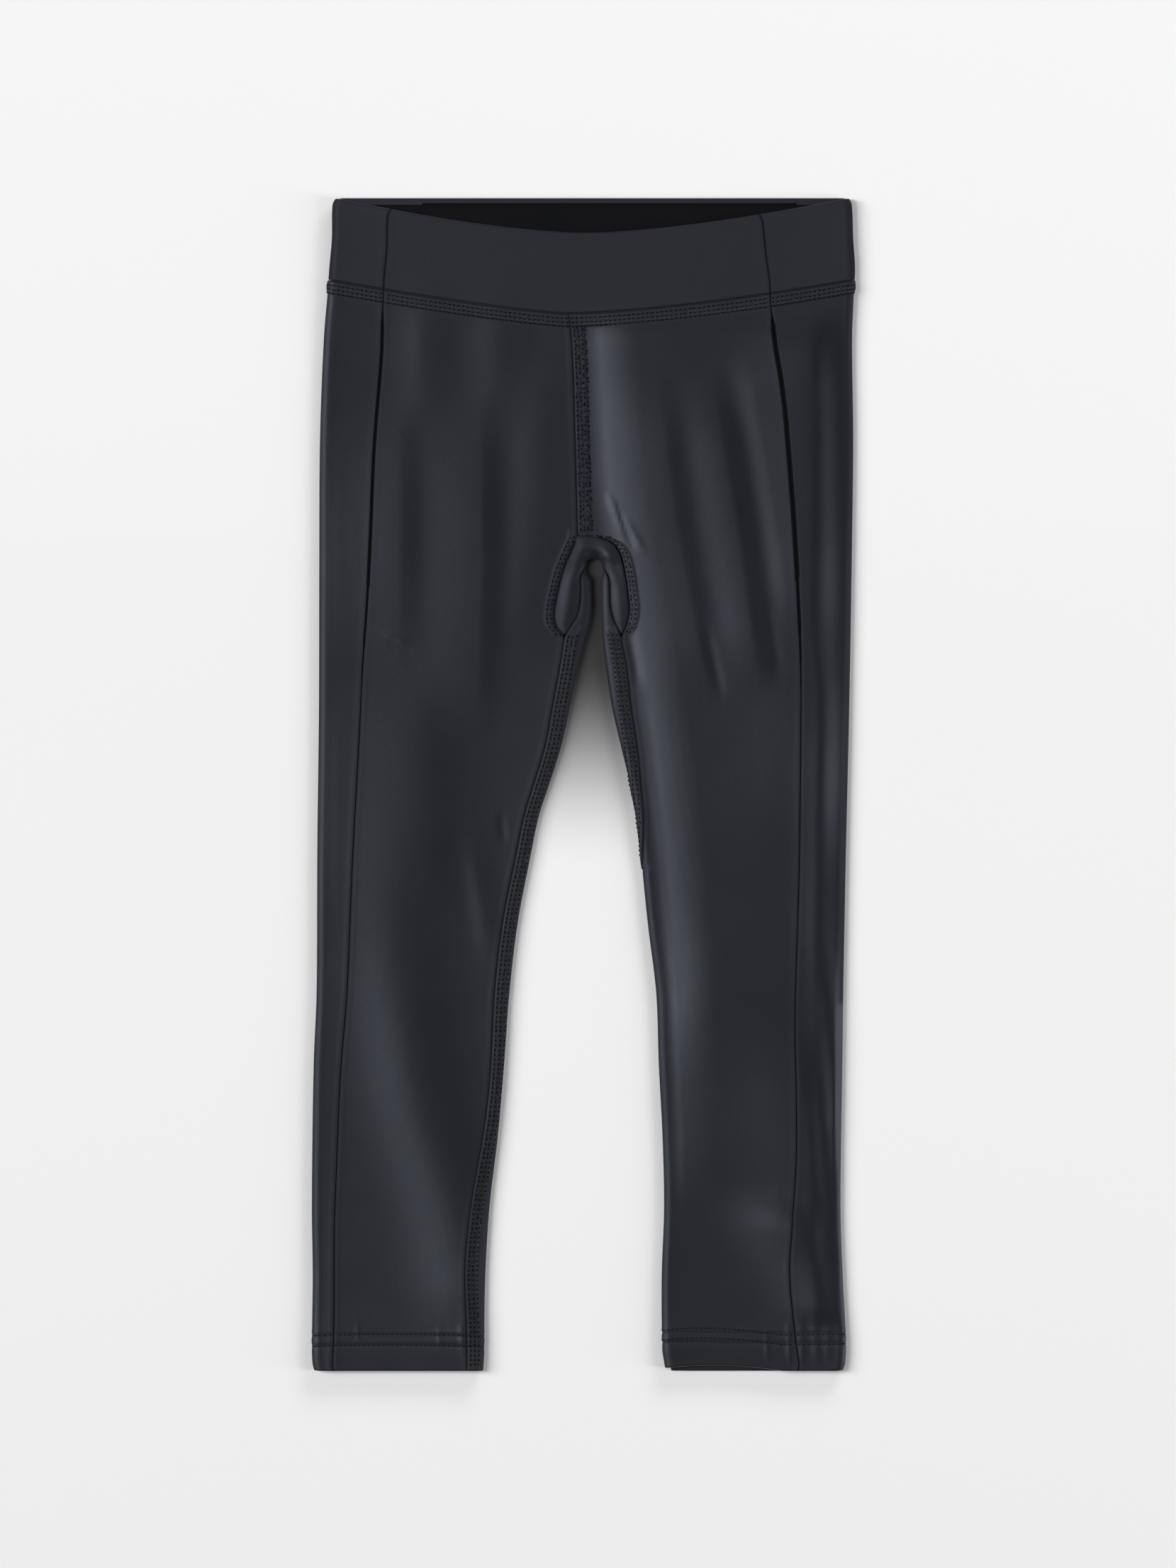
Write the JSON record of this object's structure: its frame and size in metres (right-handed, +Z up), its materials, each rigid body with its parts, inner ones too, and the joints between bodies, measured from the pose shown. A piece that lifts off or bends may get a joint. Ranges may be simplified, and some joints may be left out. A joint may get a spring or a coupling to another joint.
{
  "type": "leggings",
  "caption": "Dark knit sports leggings for a child, laid flat with the front up, with a shaped waistband, long side panels and a crotch gusset.",
  "frame": {"origin": "on the floor under the middle of the laid garment", "axes": "+X to the right as seen from above, +Y from the ankles towards the waist, +Z up from the floor"},
  "size_m": [0.299, 0.645, 0.0069],
  "materials": {
    "knit": "satin",
    "facing": "matte"
  },
  "bodies": {
    "root": {"waistband_front": "knit", "waistband_side_left": "knit", "waistband_side_right": "knit", "waistband_back": "knit", "waistband_facing": "facing", "front_left": "knit", "front_right": "knit", "side_left": "knit", "side_right": "knit", "back_left": "knit", "back_right": "knit", "gusset": "knit"}
  },
  "joints": []
}
